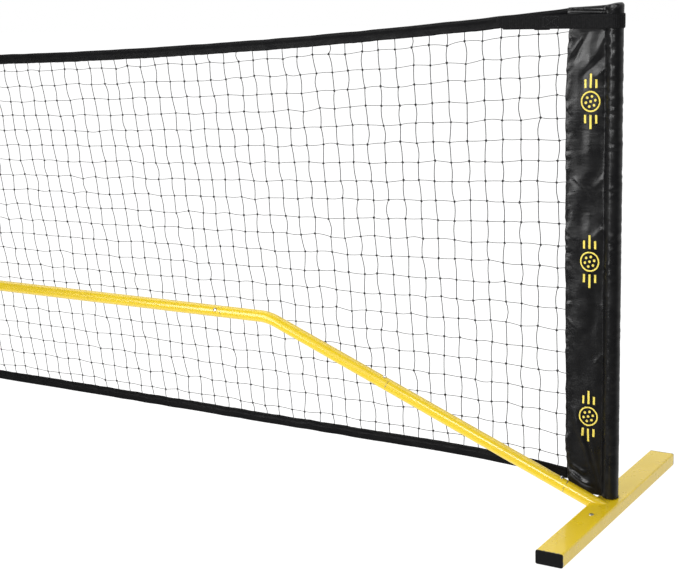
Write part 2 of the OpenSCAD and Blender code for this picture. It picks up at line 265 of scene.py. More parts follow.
def add_stitches(shape, centres, along, out, length=3.0 * MM, radius=0.32 * MM):
    """Adds short thread capsules, each lying along a seam on the side that out points to."""
    sides = 6
    along, out = unit(along), unit(out)
    across = np.cross(along, out)
    angle = 2 * np.pi * np.arange(sides) / sides
    ring = out[:, None] * np.cos(angle)[:, None] + across[:, None] * np.sin(angle)[:, None]
    rows = []
    for place, width in ((-0.5, 0.35), (-0.36, 1.0), (0.36, 1.0), (0.5, 0.35)):
        lift = 0.25 * radius * (1 if width == 1.0 else -1)
        centre = centres + along * place * length + out * lift
        rows.append(centre[:, None] + ring * radius * width)
    points = np.stack(rows, 1)
    n, each = len(centres), 4 * sides
    offset = (np.arange(n) * each)[:, None, None]
    walls = (grid_faces(4, sides, wrap=True)[None] + offset).reshape(-1, 4)
    ends = np.arange(sides)
    caps = np.stack([ends[::-1], ends + 3 * sides])[None] + offset
    shape.add(points, walls, caps.reshape(-1, sides))


def add_seam(shape, line, face, *size):
    """Adds stitches along a line on the front (face -1) or the back (face 1)."""
    out = np.broadcast_to((0, face, 0), line.shape)
    add_stitches(shape, line, np.gradient(line, axis=0), out, *size)


def add_pebble(shape, centre, half, squareness=0.3, rings=14, sides=24):
    """Adds a rounded block: a superellipsoid of the given half sizes."""
    v = np.linspace(-np.pi / 2, np.pi / 2, rings)[:, None]
    u = 2 * np.pi * np.arange(sides)[None] / sides

    def power(x):
        return np.sign(x) * np.abs(x) ** squareness

    reach = power(np.cos(v))
    x, y = reach * power(np.cos(u)), reach * power(np.sin(u))
    points = np.stack([x, y, power(np.sin(v)) + 0 * u], -1)
    shape.add(points * half + centre, grid_faces(rings, sides, wrap=True))


# Materials

class Graph:
    """Short ways to add the shader nodes used here."""

    def __init__(self, tree, coordinates):
        self.nodes, self.links = tree.nodes, tree.links
        self.place = self.nodes.new("ShaderNodeTexCoord").outputs[coordinates]

    def put(self, socket, value):
        if isinstance(value, bpy.types.NodeSocket):
            self.links.new(value, socket)
        else:
            socket.default_value = value

    def node(self, kind, inputs, **settings):
        """A node of this kind. inputs gives its sockets' values by name or number."""
        node = self.nodes.new("ShaderNode" + kind)
        for name, value in settings.items():
            setattr(node, name, value)
        for key, value in inputs.items():
            self.put(node.inputs[key], value)
        return node

    def math(self, operation, *values):
        return self.node("Math", dict(enumerate(values)), operation=operation).outputs[0]

    def axis(self, name):
        """Distance along X, Y or Z, or along a direction given as a vector."""
        if isinstance(name, str):
            return self.node("SeparateXYZ", {0: self.place}).outputs[name]
        inputs = {0: self.place, 1: name}
        return self.node("VectorMath", inputs, operation="DOT_PRODUCT").outputs["Value"]

    def noise(self, per_metre, detail=2.0, stretch=(1, 1, 1)):
        place = self.node("Mapping", {"Vector": self.place, "Scale": stretch}).outputs[0]
        inputs = {"Vector": place, "Scale": per_metre, "Detail": detail}
        return self.node("TexNoise", inputs).outputs["Fac"]

    def grain(self, per_metre):
        inputs = {"Vector": self.place, "Scale": per_metre}
        return self.node("TexVoronoi", inputs).outputs["Distance"]

    def stripes(self, per_metre, axis="X", distortion=0.0):
        # A wave's scale counts a band every 2 pi / 20 units
        scale = per_metre * 2 * math.pi / 20
        inputs = {"Vector": self.place, "Scale": scale, "Distortion": distortion}
        return self.node("TexWave", inputs, bands_direction=axis, wave_profile="SIN").outputs["Fac"]

    def span(self, value, low, high, to_low=0.0, to_high=1.0):
        """The value's smooth rise from low to high, as one from to_low to to_high."""
        inputs = dict(enumerate((value, low, high, to_low, to_high)))
        return self.node("MapRange", inputs, interpolation_type="SMOOTHSTEP").outputs["Result"]

    def mix(self, share, *colors):
        a, b = [(*c, 1) if isinstance(c, tuple) else c for c in colors]
        return self.node("Mix", {0: share, 6: a, 7: b}, data_type="RGBA").outputs[2]

    def bump(self, height, distance, strength=1.0, under=None):
        inputs = {"Strength": strength, "Distance": distance, "Height": height}
        if under is not None:
            inputs["Normal"] = under
        return self.node("Bump", inputs).outputs["Normal"]


class Finish(Graph):
    """A Principled material in object coordinates."""

    def __init__(self, name, color, roughness, metallic=0.0, **sockets):
        self.material = bpy.data.materials.new(name)
        self.material.use_nodes = True
        self.material.diffuse_color = (*color, 1)
        super().__init__(self.material.node_tree, "Object")
        self.bsdf = self.nodes["Principled BSDF"]
        self.finish(Base_Color=(*color, 1), Roughness=roughness, Metallic=metallic, **sockets)

    def finish(self, **sockets):
        for name, value in sockets.items():
            self.put(self.bsdf.inputs[name.replace("_", " ")], value)
        return self.material


YELLOW = (0.76, 0.545, 0.0085)
YELLOW_WORN = (0.73, 0.515, 0.008)
OCHRE_SPECK = (0.45, 0.27, 0.01)
PRIMER = (0.30, 0.29, 0.27)
SEAM_DIRT = (0.03, 0.02, 0.004)
# How far a tube's worn rim and its seam reach from its end
RIM = (0.4 * MM, 3.5 * MM)
SEAM = (0.2 * MM, 0.7 * MM)


def powder_coat(name, axis=None, ends=(0.0, 0.0)):
    """Yellow powder coat, chipped to grey and with a dark hairline seam round a tube's ends.

    axis is X, Y, Z or a direction, and ends are the tube's two ends along it.
    """
    f = Finish("paint_" + name, YELLOW, 0.34, Coat_Weight=0.4, Coat_Roughness=0.06)
    patchy = f.span(f.noise(9, 3), 0.35, 0.65)
    specks = f.span(f.noise(520, 1), 0.76, 0.84)
    color = f.mix(patchy, YELLOW, YELLOW_WORN)
    color = f.mix(f.math("MULTIPLY", specks, 0.15), color, OCHRE_SPECK)
    roughness = f.span(f.noise(34, 4), 0.3, 0.75, 0.26, 0.36)
    peel = f.bump(f.noise(430, 1), 0.0001, 0.08)
    normal = f.bump(f.noise(60, 1), 0.0002, 0.05, peel)
    if axis is None:
        return f.finish(Base_Color=color, Roughness=roughness, Normal=normal)
    gaps = [f.math("ABSOLUTE", f.math("SUBTRACT", f.axis(axis), end)) for end in ends]
    to_end = f.math("MINIMUM", *gaps)
    rim = f.span(to_end, *RIM, 1.0, 0.0)
    chips = f.span(f.noise(210, 3), 0.52, 0.60)
    worn = f.math("MULTIPLY", rim, chips)
    seam = f.span(to_end, *SEAM, 0.85, 0.0)
    return f.finish(
        Base_Color=f.mix(seam, f.mix(worn, color, PRIMER), SEAM_DIRT),
        Roughness=roughness,
        Metallic=f.math("MULTIPLY", worn, 0.7),
        Normal=f.bump(worn, 0.0002, 0.6, normal),
    )


def metal(name, color, roughness, brush):
    """Plated or brushed steel, with fine scratches along one direction."""
    f = Finish(name, color, roughness, metallic=1.0)
    scratches = f.noise(900, 3, brush)
    tarnish = f.span(f.noise(70, 3), 0.35, 0.75)
    return f.finish(
        Base_Color=f.mix(tarnish, color, tuple(0.82 * c for c in color)),
        Roughness=f.span(scratches, 0.3, 0.7, 0.7 * roughness, 1.5 * roughness),
        Normal=f.bump(scratches, 0.00003, 0.5),
    )


def moulded(name, color, roughness):
    """Moulded black plastic, with a fine spark-eroded grain and scuffs."""
    f = Finish(name, color, roughness, Specular_IOR_Level=0.14)
    scuffs = f.span(f.noise(120, 4, (1, 6, 1)), 0.62, 0.72)
    return f.finish(
        Base_Color=f.mix(f.math("MULTIPLY", scuffs, 0.5), color, (0.09, 0.09, 0.09)),
        Roughness=f.span(f.noise(300, 2), 0.3, 0.7, roughness - 0.08, roughness + 0.12),
        Normal=f.bump(f.grain(1700), 0.00006, 0.5, f.bump(f.noise(600, 2), 0.00005, 0.4)),
    )


def vinyl():
    """Glossy coated fabric: fine pebbling over the faint lines of the cloth behind it."""
    f = Finish("sleeve_vinyl", (0.0030, 0.0030, 0.0034), 0.33, Specular_IOR_Level=0.36)
    pebble = f.bump(f.grain(900), 0.00008, 0.3)
    cloth = f.bump(f.stripes(360, "Z", 3.0), 0.00012, 0.22, pebble)
    crumple = f.bump(f.noise(80, 3, (1, 1, 2.6)), 0.0011, 0.3, cloth)
    dust = f.span(f.noise(16, 5), 0.5, 0.85)
    return f.finish(
        Base_Color=f.mix(dust, (0.0022, 0.0022, 0.0026), (0.0052, 0.0052, 0.0052)),
        Roughness=f.span(f.noise(40, 4), 0.3, 0.75, 0.26, 0.40),
        Normal=crumple,
    )


def tape():
    """Satin coated tape with a plain weave showing through."""
    f = Finish("band_tape", (0.006, 0.006, 0.0065), 0.46, Specular_IOR_Level=0.08)
    weave = f.math("MULTIPLY", f.stripes(1100, "X"), f.stripes(1100, "Z"))
    dust = f.span(f.noise(25, 4), 0.4, 0.8)
    return f.finish(
        Base_Color=f.mix(dust, (0.004, 0.004, 0.0045), (0.008, 0.008, 0.008)),
        Roughness=f.span(f.noise(60, 3), 0.3, 0.7, 0.38, 0.52),
        Normal=f.bump(f.noise(130, 3, (1, 1, 0.5)), 0.0006, 0.4, f.bump(weave, 0.00008, 0.5)),
    )


def webbing():
    """Woven strap: fine yarns across its ribs, with a little fuzz."""
    f = Finish("webbing", (0.006, 0.006, 0.0065), 0.66, Sheen_Weight=0.01, Specular_IOR_Level=0.12)
    yarns = f.math("MULTIPLY", f.stripes(1400, "Z"), f.noise(900, 2, (1, 1, 4)))
    faded = f.span(f.noise(400, 2, (1, 1, 3)), 0.3, 0.7)
    return f.finish(
        Base_Color=f.mix(faded, (0.003, 0.003, 0.0034), (0.009, 0.009, 0.0095)),
        Roughness=f.span(f.noise(200, 2), 0.3, 0.7, 0.62, 0.82),
        Normal=f.bump(yarns, 0.0002, 0.7),
    )


def twine(name, color, roughness, per_metre):
    """Twisted yarn: strands that wind round the cord."""
    f = Finish(name, color, roughness)
    strands = f.math("MULTIPLY", f.stripes(per_metre, "X", 1.5), f.stripes(per_metre, "Z", 1.5))
    lighter = tuple(1.9 * c for c in color)
    return f.finish(
        Base_Color=f.mix(f.span(f.noise(180, 3), 0.35, 0.75), color, lighter),
        Roughness=f.span(f.noise(300, 2), 0.3, 0.7, roughness - 0.1, roughness + 0.08),
        Normal=f.bump(strands, 0.00025, 0.7),
    )


def ink():
    """Yellow print, slightly cracked where the vinyl folds."""
    f = Finish("printed_ink", (0.80, 0.66, 0.10), 0.38)
    cracks = f.span(f.grain(420), 0.0, 0.06, 0.55, 0.0)
    yellow = f.mix(f.noise(80, 3), (0.84, 0.70, 0.12), (0.72, 0.56, 0.07))
    return f.finish(
        Base_Color=f.mix(cracks, yellow, (0.1, 0.08, 0.02)),
        Roughness=f.span(f.noise(200, 2), 0.3, 0.7, 0.3, 0.5),
        Normal=f.bump(f.noise(95, 3, (1, 1, 2.4)), 0.0006, 0.3),
    )


def sloping_paint(name, low, high):
    """Paint of a brace or an elbow, with its seam square across the sloping end near the foot."""
    side = 1 if name.endswith("right") else -1
    end_x = max(side * low.x, side * high.x) - TUBE_R * BRACE_DOWN
    end_z = low.z + TUBE_R * BRACE_ALONG
    end = end_x * BRACE_ALONG - end_z * BRACE_DOWN
    return powder_coat(name, (side * BRACE_ALONG, 0.0, -BRACE_DOWN), (end, end))


def finish_cad_nodes():
    """Gives every carried-over CAD node its own finish."""
    nickel = metal("button_nickel", (0.74, 0.74, 0.76), 0.16, (1, 1, 1))
    rivet = metal("rivet_steel", (0.66, 0.66, 0.65), 0.28, (1, 9, 1))
    spring = metal("spring_steel", (0.40, 0.40, 0.43), 0.34, (8, 1, 1))
    plastic = moulded("black_plastic", (0.005, 0.005, 0.0055), 0.46)
    core = twine("cord", (0.05, 0.05, 0.055), 0.75, 420)
    for name, node in NODES.items():
        low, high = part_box(name)
        if name.startswith("button"):
            finish = nickel
        elif name.startswith("foot_rivet"):
            finish = rivet
        elif name == "snap_springs":
            finish = spring
        elif "plug" in name or "cap" in name:
            finish = plastic
        elif name.endswith("cord"):
            finish = core
        elif name.startswith("foot"):
            finish = powder_coat(name, "Y", (low.y, high.y))
        elif name.startswith(("brace_tube", "elbow")):
            finish = sloping_paint(name, low, high)
        elif "tube" in name or name.startswith(("brace", "rail")):
            finish = powder_coat(name, "X", (low.x, high.x))
        elif name.startswith(("post", "centre_post", "centre_stub")):
            finish = powder_coat(name, "Z", (low.z, high.z))
        else:
            finish = powder_coat(name)
        node.data.materials.clear()
        node.data.materials.append(finish)


# Netting

MESH_PITCH = 36.9 * MM
MESH_ROWS = 21
UPRIGHT_R = 0.78 * MM
LEVEL_R = 0.62 * MM
KNOT_R = 0.72 * MM
KNOT_LOOP = 0.55 * MM
LEAN = 0.105
PANELS = 8


def build_netting(material):
    """Knotted square netting, built as panels side by side."""
    rng = np.random.default_rng(11)
    columns = round(2 * NET_HALF / MESH_PITCH)
    column_x = -NET_HALF + (np.arange(columns) + 0.5) * 2 * NET_HALF / columns
    # The cells grow a little towards the bottom, with half a cell under the top band
    share = (np.arange(MESH_ROWS) + 0.5) / MESH_ROWS
    share = share + 0.06 * share * (share - 1)

    def hang(x, down):
        """Where a point of the flat netting hangs. Lower down it leans to the nearer post."""
        lean = LEAN * np.sin(np.pi * x / NET_HALF) * down
        end = smoothstep((NET_HALF - np.abs(x)) / 0.2)
        x = x + lean * end
        top, bottom = mesh_top(x), mesh_bottom(x)
        sway = 2.5 * MM * np.sin(3.1 * x + 0.6) * np.sin(np.pi * down)
        return np.stack([x, sway, top + (bottom - top) * down], -1)

    knots = hang(column_x[:, None], share[None, :])
    knots += rng.normal(0, 1, knots.shape) * np.array([1.5, 0.5, 1.5]) * MM
    heads = hang(column_x, np.full(columns, -0.006))
    feet = hang(column_x, np.full(columns, 1.006))
    left = hang(np.full(MESH_ROWS, -NET_HALF - 7 * MM), share)
    right = hang(np.full(MESH_ROWS, NET_HALF + 7 * MM), share)

    def sagging(points, bow, axis):
        """Adds three points to each stretch between knots, which bows a little to one side."""
        t = np.array([0.0, 0.25, 0.5, 0.75])[None, :, None]
        run = points[:-1, None] * (1 - t) + points[1:, None] * t
        push = rng.normal(0, bow, (len(points) - 1, 1)) * np.sin(np.pi * t[:, :, 0])
        run[:, :, axis] += push
        run[:, :, 1] += 0.4 * rng.normal(0, bow, (len(points) - 1, 1)) * np.sin(np.pi * t[:, :, 0])
        return np.concatenate([run.reshape(-1, 3), points[-1:]])

    turn = np.linspace(0, 2 * np.pi, 14, endpoint=False)
    # A trefoil knot, flattened a little
    across, up = np.sin(turn) + 2 * np.sin(2 * turn), np.cos(turn) - 2 * np.cos(2 * turn)
    knot_path = KNOT_LOOP * np.stack([across, -1.3 * np.sin(3 * turn), up], -1)
    bounds = np.linspace(0, columns, PANELS + 1).round().astype(int)
    for panel, (start, stop) in enumerate(zip(bounds[:-1], bounds[1:])):
        shape = Shape()
        for c in range(start, stop):
            line = np.concatenate([heads[c : c + 1], knots[c], feet[c : c + 1]])
            add_tube(shape, sagging(line, 1.5 * MM, 0), UPRIGHT_R, 6, up=(1, 0, 0))
        for r in range(MESH_ROWS):
            row = knots[start : min(stop + 1, columns), r]
            if panel == 0:
                row = np.concatenate([left[r : r + 1], row])
            if stop == columns:
                row = np.concatenate([row, right[r : r + 1]])
            add_tube(shape, sagging(row, 0.8 * MM, 2), LEVEL_R, 6)
            for c in range(start, stop):
                spin = rng.uniform(0, 2 * np.pi)
                size = rng.uniform(1.15, 1.45)
                x = knot_path[:, 0] * math.cos(spin) - knot_path[:, 2] * math.sin(spin)
                z = knot_path[:, 0] * math.sin(spin) + knot_path[:, 2] * math.cos(spin)
                loop = size * np.stack([x, knot_path[:, 1], z], -1) + knots[c, r]
                add_tube(shape, loop, KNOT_R, 5, closed=True, up=(0, 1, 0))
        shape.piece(f"netting_panel_{panel + 1}", material, "net", "net_twine", "net_mesh")


# Bands

TAPE_T = 0.5 * MM
STITCH_PITCH = 4.5 * MM
BAND_STEP = 4.0 * MM
# Half the netting's thickness between the two plies of a band
PLY_GAP = 1.25 * MM
# Each profile: (distance from the fold, distance from the middle plane)
TOP_PROFILE = [
    (0, 0), (0.4 * MM, 1.5 * MM), (1.3 * MM, 2.6 * MM), (3 * MM, 3.1 * MM), (5.5 * MM, 2.9 * MM),
    (8 * MM, 1.9 * MM), (11 * MM, 1.5 * MM), (25 * MM, 1.6 * MM),
]
BOTTOM_PROFILE = [
    (0, 0), (0.5 * MM, 1.2 * MM), (2 * MM, 1.7 * MM), (7 * MM, 1.9 * MM), (10.5 * MM, 2.7 * MM),
    (14 * MM, 1.8 * MM), (21 * MM, 1.5 * MM),
]


def build_band(place, edge, height, profile, seed):
    """A tape folded round its cord and stitched to the netting between its two plies."""
    name = place + "_band_tape"
    fold_up = place == "top"
    rng = np.random.default_rng(seed)
    xs = np.arange(-NET_HALF - 4 * MM, NET_HALF + 4 * MM, BAND_STEP)
    # The section runs from the front ply's hem to the fold and on to the back ply's hem
    depth = np.linspace(0, 1, 15) ** 1.6 * height
    half = np.interp(depth, *zip(*profile))
    section_y = np.concatenate([-half[::-1], half[1:]])
    section_d = np.concatenate([depth[::-1], depth[1:]])
    x = np.repeat(xs[:, None], len(section_y), 1)
    d = np.repeat(section_d[None], len(xs), 0)
    loose = np.clip(d / height, 0, 1)
    tuck = 1 - 0.25 * np.exp(-(((d - 0.8 * height) / (2.5 * MM)) ** 2)) * (d < height)
    y = section_y[None] * tuck
    across = np.arange(len(section_y))[None] * 3 * MM + 0 * x
    y = y + loose * 0.45 * MM * blotches(x, across, 13 * MM, 9 * MM, rng)
    gap = PLY_GAP * (loose > 0.2)
    y = np.where(section_y[None] < 0, np.minimum(y, -gap), np.maximum(y, gap))
    wave = 0.5 * MM * blotches(x, 0 * x, 37 * MM, 1, rng)
    wave = wave + 0.35 * MM * blotches(x, 0 * x, 9 * MM, 1, rng) * loose
    z = edge(x) - d + wave if fold_up else edge(x) - height + d + wave
    surface = np.stack([x, y, z], -1)
    if not fold_up:
        surface = surface[:, ::-1]
    shape = Shape()
    add_skin(shape, surface, TAPE_T)
    band = shape.piece(name, tape_finish, "net", "band_tape", place + "_band")

    seams = Shape()
    seam_depths = (0.83 * height, 0.34 * height) if fold_up else (0.84 * height,)
    seam_x = np.arange(-NET_HALF + 6 * MM, NET_HALF - 6 * MM, STITCH_PITCH)
    for depth in seam_depths:
        for face in (-1, 1):
            column = int(np.argmin(np.abs(section_d - depth) + (section_y * face < 0)))
            if not fold_up:
                column = len(section_y) - 1 - column
            add_seam(seams, read_path(seam_x, xs, surface[:, column]), face)
    seams.piece(name + "_stitches", thread, "net", "band_tape")


# Side sleeves

VINYL_T = 0.6 * MM
SLEEVE_ROWS = 420
SLEEVE_COLS = 76
HEM_X = -SLEEVE_W
PANEL_TURN = -20 * MM
HEM_SEAM = 6.5 * MM
POCKET_R = 14.2
# Outer surface of the front ply, from the hem over the crease beside the post to its far side
HALF_SECTION = [
    (HEM_X / MM, -1.5), (-81, -2.6), (-66, -3.8), (-44, -4.3), (-28, -3.7),
    (-18.2, -2.6), (-16.9, -2.7), (-14.8, -5.2), (-12.6, -7.8),
]
POCKET_ARC = [math.radians(a) for a in range(-136, 1, 8)]
HALF_SECTION += [(POCKET_R * math.cos(a), POCKET_R * math.sin(a)) for a in POCKET_ARC]
# The hem's distance from the post at some heights: it pulls in under the strap and towards the foot
HEM_HEIGHTS = [28, 60, 120, 450, 758, 828, 862, 880, 900, 930]
HEM_REACH = [82, 85, 89, 91, 91.3, 89.6, 86, 84.5, 85.5, 88]
# Height of the sleeve's top and bottom edges along the section's x
TOP_X = [-98, -60, -20, -6, 4, 9, 14.5]
TOP_Z = [918.3, 919.6, 921.5, 923.6, 925.2, 925.4, 921.0]
BOTTOM_X = [-92, -86, -80, -60, -40, -20, 0, 14.5]
BOTTOM_Z = [55, 46, 37.5, 30, 27.4, 26.8, 26.6, 27]
# Folds of the front ply. Each is its two ends as (x, height), how far it stands out and its width
FOLDS = [
    (-4, 911, 10, 923, 2.6, 2.0), (-13, 881, -54, 811, 3.2, 9), (-46, 878, -82, 822, -2.4, 7),
    (-61, 864, -80, 838, 1.5, 4), (-15, 816, -36, 794, 2.4, 7), (-18, 836, -62, 800, -1.5, 5),
    (-87, 745, -75, 731, 1.2, 2.4), (-86, 718, -66, 699, 0.9, 4.5), (-22, 706, -30, 600, -1.2, 9),
    (-74, 618, -36, 581, 0.9, 1.8), (-16, 630, -36, 604, 1.7, 6), (-86, 522, -70, 507, 0.8, 2.2),
    (-18, 532, -38, 509, 1.5, 6), (-85, 470, -60, 452, 0.7, 3), (-30, 430, -38, 300, -0.9, 9),
    (-86, 360, -68, 345, 0.8, 2.4), (-17, 300, -34, 276, 1.2, 6), (-70, 186, -24, 34, 2.9, 9),
    (-44, 176, -18, 36, 1.6, 5), (-57, 176, -22, 38, -1.8, 4), (-89, 68, -36, 38, 4.2, 5),
    (-80, 80, -48, 64, 2.0, 4), (-84, 55, -28, 31, -1.0, 2.0), (-88, 140, -85, 98, 2.2, 5),
]


def fold_relief(s, z, folds, s_of_x):
    """How far the listed folds push the surface out at arc length s and height z, all in mm."""
    relief = np.zeros_like(s)
    for x0, z0, x1, z1, height, width in folds:
        s0, s1 = s_of_x(x0), s_of_x(x1)
        length = math.hypot(s1 - s0, z1 - z0)
        along = ((s - s0) * (s1 - s0) + (z - z0) * (z1 - z0)) / length**2
        off = ((s - s0) * (z1 - z0) - (z - z0) * (s1 - s0)) / length
        taper = smoothstep(2.6 * along + 0.3) * smoothstep(2.6 * (1 - along) + 0.3)
        relief += height * taper * np.exp(-np.abs(off / width) ** 1.6)
    return relief


class Sleeve:
    """One side's sleeve: its outer surface as a grid of points in the right side's frame."""

    def __init__(self, side):
        rng = np.random.default_rng(5 if side == 1 else 6)
        half = even_path(HALF_SECTION, SLEEVE_COLS)
        section = np.concatenate([half, half[-2::-1] * (1, -1)])
        run = run_along(section)
        self.half_run = run[: len(half)]
        self.half_x = half[:, 0]
        self.width = run[-1] * MM
        closing = np.linspace(0, 1, 9)[1:]
        rise = np.concatenate([np.linspace(0, 1, SLEEVE_ROWS), np.ones(len(closing))])
        tau = np.concatenate([np.zeros(SLEEVE_ROWS), np.sin(closing * np.pi / 2)])

        x, y, s = (np.tile(values, (len(rise), 1)) for values in (*section.T, run))
        low, high = hermite(x, BOTTOM_X, BOTTOM_Z), hermite(x, TOP_X, TOP_Z)
        crown = 2.6
        z = low + (high - crown - low) * rise[:, None] + crown * tau[:, None]
        y = y * np.maximum(np.sqrt(1 - tau[:, None] ** 2.5), 0.03)

        # The hem's own line, with puckers from its stitching
        hem = np.interp(z, HEM_HEIGHTS, HEM_REACH) + 0.7 * blotches(z, 0 * z, 9.0, 1, rng)
        turn = PANEL_TURN / MM
        x = np.where(x < turn, turn + (x - turn) * (hem + turn) / (HEM_X / -MM + turn), x)

        front = s <= run[-1] / 2
        mirrored = run[-1] - s
        own = FOLDS if side == 1 else self.vary(FOLDS, rng)
        # No fold runs quite straight
        drift_s = 2.4 * blotches(s, z, 24.0, 31.0, rng)
        fold_z = z + 4.0 * blotches(s, z, 27.0, 36.0, rng)
        facing = fold_relief(s + drift_s, fold_z, own, self.s_of_x)
        behind = fold_relief(mirrored + drift_s, fold_z, self.vary(FOLDS, rng), self.s_of_x)
        relief = np.where(front, facing, behind)
        relief *= 1 + 0.35 * blotches(s, z, 18.0, 26.0, rng)
        # Above the strap the vinyl is folded over in a ledge that runs down to the post
        ledge = np.interp(x, [-96, -13], [915.8, 911.2])
        folded = 3.0 * smoothstep((ledge - z) / 3.2 + 0.5) * smoothstep((-9.5 - x) / 3)
        relief += folded * (z > STRAP_LOW.z / MM)
        from_hem = np.minimum(s, mirrored)
        near_hem = np.exp(-((from_hem / 9.0) ** 2))
        relief += 1.2 * near_hem * blotches(s, z, 10.0, 8.0, rng)
        on_pocket = smoothstep((from_hem - 66) / 8)
        fine = blotches(s, z, 16.0, 6.5, rng)
        fine = fine * (0.4 + 0.6 * np.abs(blotches(s, z, 40.0, 60.0, rng)))
        relief += fine * (0.18 + 1.1 * on_pocket * np.interp(z, [450, 750], [0.5, 1]))
        billow = 1.5 * blotches(s, z, 30.0, 48.0, rng) + 0.5 * blotches(s, z, 15.0, 21.0, rng)
        relief += billow * (1 - on_pocket)
        relief += 0.9 * np.exp(-(((z - low) / 2.2) ** 2))
        relief *= 1 - 0.8 * (tau[:, None] > 0)
        # The strap holds it flat
        above = smoothstep((z - STRAP_LOW.z / MM + 5) / 4)
        relief *= 1 - 0.9 * (above * smoothstep((STRAP_HIGH.z / MM + 2 - z) / 4))

        normal = outward(section)
        x, y = x + normal[None, :, 0] * relief, y + normal[None, :, 1] * relief
        # Clear of the post inside it, and of the netting between its two plies
        reach = np.hypot(x, y)
        clear = TUBE_R / MM + 1.0
        near_post = (reach < clear) & (x > -12) & (z < POST_TOP / MM + 0.6)
        push = np.where(near_post, clear / np.maximum(reach, 1), 1)
        x, y = x * push, y * push
        gap = 1.45 * (1 - tau[:, None] ** 2)
        beside_post = run[-1] / 2 - 14
        ahead = np.minimum(y, -gap * (s < beside_post))
        y = np.where(front, ahead, np.maximum(y, gap * (mirrored < beside_post)))
        self.grid = np.stack([x, y, z], -1) * MM

    def s_of_x(self, x):
        return float(np.interp(x, self.half_x, self.half_run))

    @staticmethod
    def vary(folds, rng):
        """The same kind of folds elsewhere, for the faces that hang their own way."""
        out = []
        for k, (x0, z0, x1, z1, height, width) in enumerate(folds):
            lift = rng.uniform(-28, 28) if 2 < k < 18 else rng.uniform(-4, 4)
            sway = rng.uniform(-5, 5)
            size = rng.uniform(0.6, 1.2)
            out.append((x0 + sway, z0 + lift, x1 + sway, z1 + lift, height * size, width))
        return out

    def at(self, x, z, back=False):
        """Points on the outer surface at the given x and height, on the front or the back ply."""
        grid = self.grid[:SLEEVE_ROWS, ::-1] if back else self.grid[:SLEEVE_ROWS]
        half = grid[:, :SLEEVE_COLS]
        x, z = np.broadcast_arrays(np.asarray(x, float), np.asarray(z, float))
        shape, x, z = x.shape, x.ravel(), z.ravel()
        row_z = half[:, SLEEVE_COLS // 3, 2]
        row = np.clip(np.interp(z, row_z, np.arange(SLEEVE_ROWS)), 0, SLEEVE_ROWS - 1.001)
        r = row.astype(int)
        t = row - r
        out = np.zeros((len(x), 3))
        for k, (xk, rk, tk) in enumerate(zip(x, r, t)):
            line = half[rk] * (1 - tk) + half[rk + 1] * tk
            out[k] = xk, np.interp(xk, line[:, 0], line[:, 1]), z[k]
        return out.reshape(*shape, 3)


def build_sleeve(side, word):
    sleeve = Sleeve(side)
    shape = Shape(side)
    add_skin(shape, sleeve.grid, VINYL_T)
    cad_node = f"side_sleeve_{word}"
    piece = shape.piece(f"sleeve_{word}", sleeve_finish, "net", "sleeve_vinyl", cad_node)

    seams = Shape(side)
    heights = np.arange(0.068, 0.876, 5 * MM)
    hem = np.interp(heights / MM, HEM_HEIGHTS, HEM_REACH) * MM
    for back, face in ((False, -1), (True, 1)):
        line = sleeve.at(-hem + HEM_SEAM, heights, back)
        add_seam(seams, line, face, 3.3 * MM, 0.36 * MM)
    seams.piece(f"sleeve_stitches_{word}", thread, "net", "sleeve_vinyl")
    build_prints(sleeve, side, word)


# Prints

PRINT_X = -43 * MM
PRINT_HEIGHTS = (0.756, 0.469, 0.178)
PRINT_T = 0.16 * MM
RING_R = 18.5 * MM
RING_W = 2.8 * MM
DOT_R = 2.5 * MM
DOT_REACH = 9.2 * MM
BAR_LENGTHS = (15 * MM, 25 * MM, 15 * MM)
BAR_PITCH = 10.5 * MM
BAR_W = 4 * MM
BAR_START = 23.5 * MM


def add_print(shape, sleeve, a, b, wrap=False):
    """Adds a patch of print on the sleeve's front, from grids of x (a) and height (b)."""
    laid = sleeve.at(a, b)
    laid[..., 1] -= PRINT_T
    if wrap:
        # A ring is cut open at one seam, where its two ends meet
        laid = np.concatenate([laid, laid[:, :1]], 1)
    add_skin(shape, laid, PRINT_T)


def build_prints(sleeve, side, word):
    """Three plain emblems on the front: a ball with round holes between two sets of bars."""
    shape = Shape(side)
    for height in PRINT_HEIGHTS:
        around = -np.linspace(0, 2 * np.pi, 49)[None, :-1]
        ring = np.array([[RING_R - RING_W], [RING_R - RING_W / 2], [RING_R]])
        x, z = PRINT_X + ring * np.sin(around), height + ring * np.cos(around)
        add_print(shape, sleeve, x, z, wrap=True)
        disc = np.array([[0.05 * MM], [1.3 * MM], [DOT_R]])
        spots = [(0, 0)] + [(DOT_REACH, k * np.pi / 3 + 0.26) for k in range(6)]
        for reach, turn in spots:
            x = PRINT_X + reach * math.cos(turn) + disc * np.sin(around[:, ::4])
            z = height + reach * math.sin(turn) + disc * np.cos(around[:, ::4])
            add_print(shape, sleeve, x, z, wrap=True)
        for end in (-1, 1):
            for k, length in enumerate(BAR_LENGTHS):
                left = PRINT_X + (k - 1) * BAR_PITCH - BAR_W / 2
                start = height + end * BAR_START
                rows = np.linspace(start, start + end * length, 12)[::end, None]
                add_print(shape, sleeve, left + np.linspace(0, BAR_W, 5)[None], rows)
    shape.piece(f"sleeve_print_{word}", print_finish, "net", "sleeve_vinyl")


# Straps and sliders

WEB_T = 1.3 * MM
RIB = 3.6 * MM
RIB_H = 0.6 * MM
SEWN_BOX_X = -0.118
SEWN_BOX_W = 30 * MM
SEWN_BOX_H = 18 * MM
SEWN_BOX_PITCH = 3.6 * MM
SLIDER_X = -140 * MM
BAND_Y = 3.2 * MM
WRAP_R = 15.25 * MM
# How far the middle of the strap lies from the band that it rests on
STRAP_REST = 0.75 * MM


